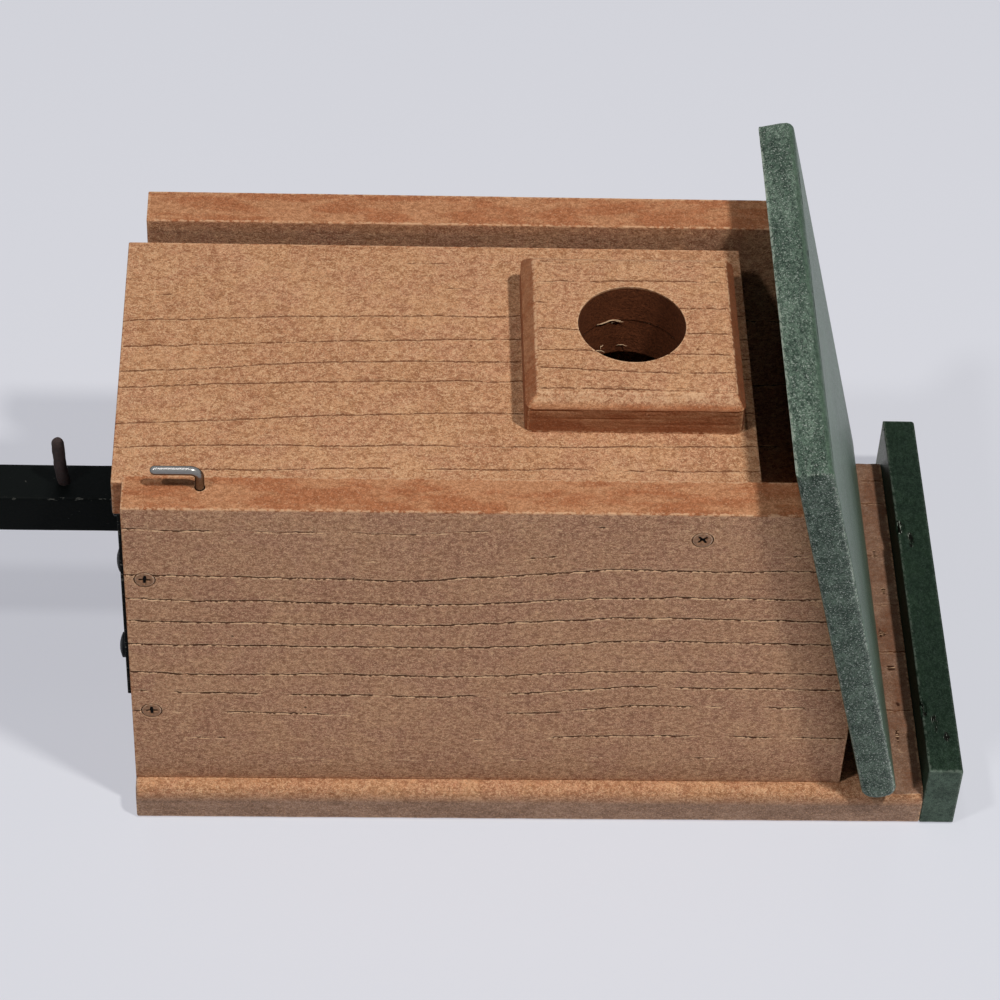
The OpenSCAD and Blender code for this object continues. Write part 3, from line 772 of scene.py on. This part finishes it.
# Back board: its front corners are rounded by 5 mm
board = Board("back_board", (X, Z, -Y), radii=(1.0, 1.0, 5.0, 5.0), end_round=0.7, seed=13)
# painted shade on the front face from 276 mm up, between the roof and the cap
board.eased, board.painted_shade_from = 4.6, 276.0
tall = board.size[1]
board.front = Grain(tall, [(12, 1, .5, .3), (24, 1, .3, .6), (52, 1, .4, .5), (78, .8, .6, .4),
                           (101, .7, .5, .4), (131, 1, .4, .6), (150, 1, .6, .3)], seed=11)
board.back = Grain(tall, [(10, 3, .5, .7), (23, 3, .8, .5), (38, 4, .6, .8), (49, 5, .9, .6),
                          (63, 5, .5, .9), (80, 5, .8, .6), (93, 4, .4, .7), (108, 4, .9, .7),
                          (124, 3, .6, .9), (139, 2, .8, .5), (157, 1, .5, .7)],
                   sway=((0, 0), (.4, .6), (.6, -.8), (1, .4)), seed=12)
board.shape()
board.chip(*[((x, z, board.size[2]), (w, h, 1.2), d) for x, z, w, h, d in
             ((50.8, 282, 3.2, 1.6, 0.9), (92, 280.5, 3.6, 2.0, 1.0), (110, 282.5, 2.6, 1.4, 0.8),
              (143, 281.5, 4.0, 1.5, 0.9), (70, 284, 2.4, 1.2, 0.6), (128, 284, 2.0, 1.0, 0.6))])
for side in ("left", "right"):
    for place in ("back_screw_low", "back_screw_middle", "back_screw_high", "roof_screw"):
        at = middle(f"{side}_{place}")
        board.drill((at.x, back_hi.y, at.z), -Y, HEAD_R, 4.1)
board.make(brown_back, "house", "brown_board")

# Side boards: the top follows the roof, and is cut square at the back
SIDE_SWAY = ((0, 0), (0.43, 1.5), (0.58, -1.5), (0.7, -5.0), (0.8, -4.6), (1, -4.2))
right_lines = [(10, .6, .35, .3), (23.5, .8, .15, .35), (33, 1.1, .75, .9), (45.7, .8, .65, .95),
               (56.8, .8, .8, 1.0), (68.9, .7, .7, 1.0), (84.2, .6, .6, .8), (94.5, .9, .45, .7),
               (105.5, 1.1, .5, .4), (119.5, .5, .2, .45), (131, .5, .3, .2)]
left_lines = [(12, .6, .3, .5), (27, .8, .8, .6), (40, 1.1, .5, .9), (54, .8, .9, .7),
              (66, .8, .6, .9), (80, .7, .9, .5), (93, .6, .5, .8), (104, .9, .8, .6),
              (118, 1.1, .4, .7), (133, .5, .7, .4)]
for side, sign, lines in (("right", 1, right_lines), ("left", -1, left_lines)):
    board = Board(f"{side}_side", (Y * sign, Z, X * sign), seed=30 + sign)
    wide, tall = board.size[:2]
    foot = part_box(f"{side}_side")[0].z
    board.front = Grain(tall, lines, sway=SIDE_SWAY, seed=34 + sign)
    board.back = Grain(tall, [(30, .5, .5, .4), (62, -.6, .4, .6), (97, .5, .6, .3)],
                       sway=((0, 0), (.5, 2), (1, -2)), seed=38 + sign)
    board.top = (lambda a, sign=sign, wide=wide, tall=tall, foot=foot: np.minimum(
        (front_top - foot) / MM + (a if sign > 0 else wide - a) * math.tan(ROOF_SLOPE), tall))
    board.shape(wear=0.6)
    face = side_hi.x * sign
    for place in ("floor_screw_front", "floor_screw_back", "pivot_screw"):
        at = middle(f"{side}_{place}")
        board.drill((face, at.y, at.z), -X * sign, HEAD_R, 4.05)
    if sign > 0:
        board.drill((hook_x, side_lo.y, hook_z), Y, radius=1.9, length=8, wobble=0.08, sides=32)
    board.make(brown_side_shaded, "house", "brown_board")

# Floor
board = Board("floor", (-Y, X, Z), end_round=0.4, seed=53)
board.front = Grain(board.size[1], [(20, .5, .5, .4), (50, .5, .4, .6), (85, .5, .6, .4)], seed=51)
board.back = Grain(board.size[1], [(12, 1, .7, .5), (25, 1, .6, .8), (41, 1, .8, .6),
                                   (57, 1, .5, .7), (72, 1, .8, .6), (90, 1, .6, .8),
                                   (106, 1, .7, .5)], sway=((0, 0), (.5, 3), (1, -1)), seed=52)
board.shape(wear=0.6)
board.make(brown_floor, "house", "brown_board")

# Door
board = Board("front_door", (X, Z, -Y), end_round=0.6, seed=63)
tall = board.size[1]
board.front = Grain(tall, [(14, .8, .1, .3), (28.7, 1.0, .3, .3), (41.6, .75, .75, .85),
                           (54.8, .85, .85, .8), (66.8, 1.05, .9, .75), (75.3, .85, 1.0, .85),
                           (93.4, 1.1, .95, .9), (103.4, .3, .65, .6), (114.6, .3, .3, .6)],
                    sway=((0, 0), (.27, -4.6), (.5, -6.4), (1, -9)), seed=61)
board.back = Grain(tall, [(25, 1, .4, .6), (60, 1, .6, .4), (96, 1, .5, .6)],
                   sway=((0, 0), (.5, 3), (1, 0)), seed=62)
board.shape()
board.rim, board.mouth = 0, -0.3
door_lo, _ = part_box("front_door")
board.drill((bore.x, door_lo.y, bore.z), Y, BORE_R + 0.15, **BORE_CUT)
board.make(brown, "door", "brown_board")


class GuardBlock(Board):
    """The square block: outline corners rounded, its front edges chamfered and softened."""
    CHAMFER, CORNER, SOFT = 4.5, 3.2, 1.1
    STEEP = 1.04, 1.35      # how much steeper the bevels at its low and high ends are
    SCORCH = 1.46, 1.66     # the sawn mark where the cutter browned the wood: walls, high end
    STRANDS = ((4.6, 0.16), (6.9, 0.26), (8.6, 0.16), (10.4, 0.4))     # place from the rear, depth

    def strands(self, along, c, width):
        """Sunk lines round the block's sides."""
        out = np.zeros(len(c))
        for n, (place, depth) in enumerate(self.STRANDS):
            wave = place + 0.9 * (lattice_noise(along / 21, 0.5, self.seed + n) - 0.5)
            dash = smooth(0.3, 0.7, lattice_noise(along / 17, 0.5, self.seed + 20 + n))
            out += depth * dash * np.exp(-((c - wave) / width) ** 2)
        return out

    def shape(self, wear=0.5):
        self.build_grid()
        width, length, thick = self.size
        a, b, c = self.p.T.copy()
        flat_a, flat_b = a.copy(), b.copy()
        low_a, low_b, r = a < width / 2, b < length / 2, self.CORNER
        both, x, y, m, norm = in_corner(r, np.where(low_a, a, width - a),
                                        np.where(low_b, b, length - b))
        a = np.where(both, np.where(low_a, r - x * m / norm, width - r + x * m / norm), a)
        b = np.where(both, np.where(low_b, r - y * m / norm, length - r + y * m / norm), b)
        inset = np.where(both, r - m, np.minimum.reduce([a, width - a, b * self.STEEP[0],
                                                         (length - b) * self.STEEP[1]]))
        deep = self.CHAMFER * (1 + 0.1 * (rough_noise(a / 18 + 3, b / 18, self.seed) - 0.5))
        fall = lambda gap: (gap + np.sqrt(gap ** 2 + self.SOFT ** 2)) / 2 - 0.02
        c = np.where(self.on["front"], thick - fall(deep - inset), c * (1 - fall(deep) / thick))
        c = np.where(self.on["front"], c - self.front.depth(flat_a, flat_b), c)
        sunk = self.strands(flat_a + flat_b, c, 0.45)
        wall = ~self.on["front"] & ~self.on["back"]
        in_a = self.on["low"] | self.on["high"]
        a = a + np.where(wall & in_a, np.where(low_a, sunk, -sunk), 0)
        b = b + np.where(wall & ~in_a, np.where(low_b, sunk, -sunk), 0)
        self.p = np.stack([a, b, c], 1)
        return self

    def marks(self, a, b, c):
        out = super().marks(a, b, c)
        width, length, thick = self.size
        sides = np.minimum(a, width - a)
        ends = np.minimum(b * self.STEEP[0], (length - b) * self.STEEP[1])
        inset = np.minimum(sides, ends)
        wall = smooth(0.9, 0.3, inset) * (c < thick - self.CHAMFER + 0.6)
        out["strength"] = out["strength"] * (inset > 3.6)
        out["groove"] = 0.65 * self.strands(a + b, c, 0.4) * wall
        cut = smooth(4.9, 4.1, ends) * (ends < sides)
        bevel = smooth(4.9, 4.1, sides) * (c > thick - self.CHAMFER + 0.3) * (sides <= ends)
        scorch = np.where(b > length / 2, self.SCORCH[1], self.SCORCH[0])
        out["sawn"] = np.maximum.reduce([out["sawn"], scorch * cut, self.SCORCH[0] * wall])
        # painted shade: the side bevels' outer part gets a browner tone
        out["sawn"] = np.where(bevel > 0, 1.32 * smooth(2.0, 0.5, sides), out["sawn"])
        # painted highlight: a pale line along the chamfer's ridge
        ridge = np.clip(1 - np.abs(inset - 4.3) / 0.9, 0, 1) * (c > thick - 1.2)
        out["corner"] = np.where((inset > 3) & (inset < 6), ridge, out["corner"])
        # painted highlight: the side bevels' upper part is paler
        out["corner"] = np.maximum(out["corner"], 0.55 * bevel * smooth(1.0, 2.4, sides))
        return out


board = GuardBlock("guard_block", (X, Z, -Y), step=(1.6, 1.5), layer_step=0.5, seed=72,
                   fine=(0, 0.3, 0.8, 1.5, 2.3, 3.1, 3.7, 4.1, 4.5, 4.9, 5.4, 6.2))
board.front = Grain(board.size[1], [(5.8, 1, .2, .5), (17, -.5, .3, .7), (27, 1.2, .4, .7),
                                    (39.7, 1.3, .7, .8), (51.2, .8, .7, .8), (60.5, .7, .6, .7),
                                    (69.6, .6, .85, .95)],
                    sway=((0, 0), (.6, 2), (1, 2.2)), seed=71)
board.shape()
guard_lo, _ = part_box("guard_block")
board.rim = 1
board.drill((bore.x, guard_lo.y, bore.z), Y, BORE_R, **BORE_CUT)
board.make(brown, "door", "brown_board", sharp=34)

# Roof: a runs down the slope to the nose, b along X
up_slope = Vector((0, math.cos(ROOF_SLOPE), math.sin(ROOF_SLOPE)))
off_slope = Vector((0, -math.sin(ROOF_SLOPE), math.cos(ROOF_SLOPE)))
board = Board("roof", (-up_slope, X, off_slope), radii=(5.8, 0.5, 3.9, 5.8), end_round=1.7,
              step=(2.2, 1.6), seed=83)
board.front = Grain(board.size[1], [(board.size[0] - 2.8, 0.6, .1, .95)],
                    sway=((0, 0), (.5, .4), (1, -.6)), seed=84)
board.end_mark = 1.42
board.shape(wear=0.4)
board.make(green, "house", "green_board")

# Cap
board = Board("top_cap", (-Y, X, Z), radii=(0.5, 0.5, 1.5, 0.5), end_round=0.8, step=(1.1, 1.1),
              layer_step=1.2, seed=93)
board.planed = True
board.shape(wear=0.4)
wide = board.size[0]
board.chip(((wide, 57.8, 0.8), (2.4, 4.0, 2.2), 2.0), ((wide, 65, 4.6), (1.8, 5.0, 1.7), 1.4),
           ((wide, 149.7, 0.4), (2.4, 4.8, 2.2), 2.0), ((wide, 156, 4.4), (1.8, 5.6, 1.6), 1.4),
           ((wide, 163, 8.0), (1.5, 3.4, 1.4), 0.9))
board.make(green_cap, "house", "green_board")


# ---- metal parts

board = Board("pole", (X, Z, -Y), radii=(1.1,) * 4, end_round=0.8, step=(2.5, 4), layer_step=2.5,
              fine=(0, 0.15, 0.4, 0.8, 1.3, 2.0), seed=101)
board.shape(wear=0.3)
board.make(metals["paint"], "house", "black_steel")
board = Board("mounting_plate", (X, Y, Z), radii=(0.4,) * 4, end_round=0.4, step=(3, 3), seed=111)
board.shape(wear=0.4)
board.make(metals["paint"], "house", "black_steel")

# The rod in the pole: slightly bent, rough with rust, with a flat rounded tip
pin_lo, pin_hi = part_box("pole_pin")
pin_r = (pin_hi.x - pin_lo.x) / 2
_, pole_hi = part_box("pole")
steps = np.linspace(0, 1, 40)
tip_y, root_y = pin_lo.y + 0.32 * MM, pole_hi.y - 4 * MM
tip_z, root_z = pin_lo.z + pin_r, pin_hi.z - pin_r
line_y = tip_y + (root_y - tip_y) * steps
line_z = tip_z + (root_z - tip_z) * steps - 0.0007 * np.sin(steps * math.pi * 1.2)
line_x = 0.0003 * np.sin(steps * 5)
taper = np.minimum(1, 0.62 + 0.38 * np.sqrt(np.clip(steps / 0.05, 0, 1)))
line = np.stack([line_x, line_y, line_z], 1)
rod = tube("pole_pin_piece", line, pin_r * 0.96 * taper, sides=28, wobble=0.2, seed=3)
finish_piece(rod, metals["rust"], "house", "pole_pin")


def screw(node, way, body, turn):
    """A countersunk screw with a cross recess; way points out of its head."""
    lo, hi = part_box(node)
    way = Vector(way)
    size = np.array(hi - lo) / MM
    length = abs(size @ np.array(way))
    head = (size.sum() - length) / 4 * HEAD_SHARE
    top = (lo + hi) / 2 + way * length / 2 * MM
    sides = 72
    angles = np.linspace(0, 2 * math.pi, sides, endpoint=False)
    flat = 24                   # rings on the head's flat face
    radii = np.concatenate([np.linspace(0.12, head * 0.86, flat),
                            [head * 0.9, head * 0.95, head * 0.99, head, head * 0.98, 2.0, 1.85]])
    depths = np.concatenate([np.zeros(flat), [0.03, 0.12, 0.3, 0.5, 0.7, 1.98, 2.3]])
    neck, count = 1.8, 9        # the shank's radius and rings
    radii = np.concatenate([radii, np.full(count, neck), [0.3]])
    depths = np.concatenate([depths, np.linspace(2.6, length - 4, count), [length - 0.1]])
    r, angle = np.meshgrid(radii, angles, indexing="ij")
    u, v = np.abs(r * np.cos(angle + turn)), np.abs(r * np.sin(angle + turn))
    arm = lambda x, y: smooth(0.78, 0.5, x + 0.12 * y) * smooth(2.35, 1.75, y)
    cross = np.maximum(arm(u, v), arm(v, u)) * (np.arange(len(radii)) < flat)[:, None]
    deep = depths[:, None] + cross * (0.7 + 0.9 * np.clip(1 - r / 2.2, 0, 1))
    side = way.orthogonal().normalized()
    other = way.cross(side)
    frame_3 = np.array([tuple(side), tuple(other), tuple(-way)])
    local = np.stack([r * np.cos(angle), r * np.sin(angle), deep], -1).reshape(-1, 3)
    points = np.array(top) + local @ frame_3 * MM
    thing = new_object(node + "_piece", points.tolist(), ring_faces(len(radii), sides))
    edge = np.clip(1 - np.abs(r - head * 0.93) / (head * 0.1), 0, 1) * (deep < 1)
    # the recess mark carries painted shade into the tan coating
    write_marks(thing.data, {"recess": cross, "corner": edge})
    return finish_piece(thing, metals["tan"], body, node, 35)


TURNS = {"right_floor_screw_front": 0.85, "right_floor_screw_back": 0.75, "right_pivot_screw": 0.05}
for n, (node, thing) in enumerate(list(frame["nodes"].items())):
    if "screw" in node and "plate_screw" not in node:
        if "floor_screw" in node or "pivot" in node:
            way = -X if node.startswith("left") else X
        elif "cap_screw" in node:
            way = Z
        else:
            way = Y
        screw(node, way, "door" if "guard" in node else "house", TURNS.get(node, 0.7 * n))
    elif node == "latch_hook" or "plate_screw" in node:
        thing.data.materials.clear()
        thing.data.materials.append(metals["zinc" if node == "latch_hook" else "coating"])


def splinter(name, turns, depth, lift, radius, seed):
    """A torn fibre on the bore's wall: turns are its end angles, depth its place behind the
    guard's front in mm, and lift how far its end stands off the wall."""
    count = 26
    share = np.linspace(0, 1, count)
    angle = turns[0] + (turns[1] - turns[0]) * share
    wave = lattice_noise(share * 5, 0.5, seed) - 0.5
    away = BORE_R - 0.12 - lift * smooth(0.55, 1, share) - 0.35 * np.abs(wave)
    y = guard_lo.y / MM + depth + 0.9 * wave + 0.5 * lift * share
    path = np.stack([bore.x / MM + away * np.cos(angle), y, bore.z / MM + away * np.sin(angle)], 1)
    thin = radius * (0.12 + np.sin(np.pi * np.clip(share * 0.96 + 0.02, 0, 1)) ** 0.7)
    thing = tube(name, path * MM, thin * MM, 8, 0.5, seed)
    finish_piece(thing, metals["splinter"], "door", sharp=80)


# each: its end angles from the bore's left side, then depth, lift, radius and seed
SPLINTERS = ((0.62, 0.12, 15.3, 0.7, 0.26, 5), (0.3, 0.06, 16.4, 0.4, 0.14, 8),
             (0.75, 0.42, 28.5, 1.2, 0.24, 12), (0.42, 0.52, 27.0, 0.9, 0.16, 17),
             (0.16, -0.05, 28.2, 0.5, 0.12, 23))
for letter, (start, end, *rest) in zip("abcde", SPLINTERS):
    splinter(f"bore_splinter_{letter}", (math.pi + start, math.pi + end), *rest)


# ---- stage, lights and camera

TABLE = srgb(206, 209, 219)     # as the light that it sends back sees it
SHOWN = srgb(150, 151, 154)     # as the camera sees it, together with its glow
GLOW = srgb(173, 174, 182)
TABLE_REACH, TABLE_GAP = 6.0, 0.0006    # half its width, and how far it is behind the board


def seen_rays(tree):
    """A Light Path node's outputs, and 1 for the rays that show a thing: camera, glossy and
    transmission rays."""
    path = put(tree, "ShaderNodeLightPath").outputs
    share = path["Is Camera Ray"]
    for kind in ("Is Glossy Ray", "Is Transmission Ray"):
        share = put(tree, "ShaderNodeMath", share, path[kind], operation="MAXIMUM").outputs[0]
    return path, share


def plain_floor():
    """A pale table just behind the back board, seen from its front side only."""
    y, reach = cad_hi.y + TABLE_GAP, TABLE_REACH
    corners = [(-reach, y, -reach), (reach, y, -reach), (reach, y, reach), (-reach, y, reach)]
    table = new_object("table", corners, [(0, 1, 2, 3)])
    look = Look("table_look", Specular_IOR_Level=0.1, Base_Color=TABLE, Roughness=0.9)
    path, seen = seen_rays(look.tree)
    pale = look.put("ShaderNodeAddShader", look.put("ShaderNodeBsdfDiffuse", SHOWN).outputs[0],
                    look.put("ShaderNodeEmission", GLOW, 1.0).outputs[0]).outputs[0]
    solid = look.put("ShaderNodeMixShader", seen, look.shader.outputs[0], pale).outputs[0]
    backfacing = look.put("ShaderNodeNewGeometry").outputs["Backfacing"]
    through = look.math("MAXIMUM", backfacing, path["Is Shadow Ray"])
    clear = look.put("ShaderNodeBsdfTransparent").outputs[0]
    both = look.put("ShaderNodeMixShader", through, solid, clear).outputs[0]
    feed(look.tree, look.tree.nodes["Material Output"].inputs["Surface"], both)
    table.data.materials.append(look.material)


plain_floor()

world = bpy.data.worlds.new("world")
bpy.context.scene.world = world
world.use_nodes = True
tree = world.node_tree
tree.nodes.clear()
fill = put(tree, "ShaderNodeBackground", srgb(226, 232, 245), 0.05).outputs[0]
white = put(tree, "ShaderNodeBackground", srgb(226, 229, 236), 1.0).outputs[0]
sky = put(tree, "ShaderNodeMixShader", seen_rays(tree)[1], fill, white).outputs[0]
put(tree, "ShaderNodeOutputWorld", sky)

focus = Vector((0, -0.01, 0.38))    # what the lamps point at


def lamp(name, way, distance, size, watts, colour=(1, 1, 1), height=None):
    """A lamp at a distance from the focus: a disk, or a rectangle where it has a height."""
    light = bpy.data.lights.new(name, "AREA")
    light.shape, light.size, light.energy, light.color = "DISK", size, watts, colour
    if height:
        light.shape, light.size_y = "RECTANGLE", height
    thing = bpy.data.objects.new(name, light)
    thing.location = focus + Vector(way).normalized() * distance
    thing.rotation_euler = Vector(way).to_track_quat("Z", "Y").to_euler()
    bpy.context.scene.collection.objects.link(thing)


lamp("key", (0.3, -1.0, 0.36), 2.4, 0.18, 35.5, (1.0, 0.985, 0.955))
lamp("second", (0.34, -1.0, -0.5), 2.6, 0.24, 18, (0.99, 0.985, 0.98))
# its reflection runs along the hook's arm
lamp("streak", (-0.02, -1.0, -0.1125), 2.42, 1.6, 4.8, height=0.1)
lamp("rear", (0.3, 1.0, 0.7), 2.6, 1.2, 32)
lamp("rear_low", (-0.8, 0.8, -0.1), 2.8, 1.4, 24)

CAMERA_PLACE = 0.88221, -0.93397, 0.33279
CAMERA_RIGHT, CAMERA_UP = (0.020911, -0.038264, 0.999049), (-0.734233, -0.678814, -0.010631)
CAMERA_LENS, CAMERA_SENSOR = 125.5, 36      # mm
CAMERA_SHIFT = -0.0023, 0.0384

camera_data = bpy.data.cameras.new("camera")
camera_data.lens, camera_data.sensor_width = CAMERA_LENS, CAMERA_SENSOR
camera_data.shift_x, camera_data.shift_y = CAMERA_SHIFT
camera = bpy.data.objects.new("camera", camera_data)
right = Vector(CAMERA_RIGHT)
backward = right.cross(Vector(CAMERA_UP)).normalized()
upward = backward.cross(right).normalized()
turn = Matrix((right.normalized(), upward, backward)).transposed().to_4x4()
camera.matrix_world = Matrix.Translation(CAMERA_PLACE) @ turn
bpy.context.scene.collection.objects.link(camera)
bpy.context.scene.camera = camera
bpy.context.scene.view_settings.view_transform = "Standard"
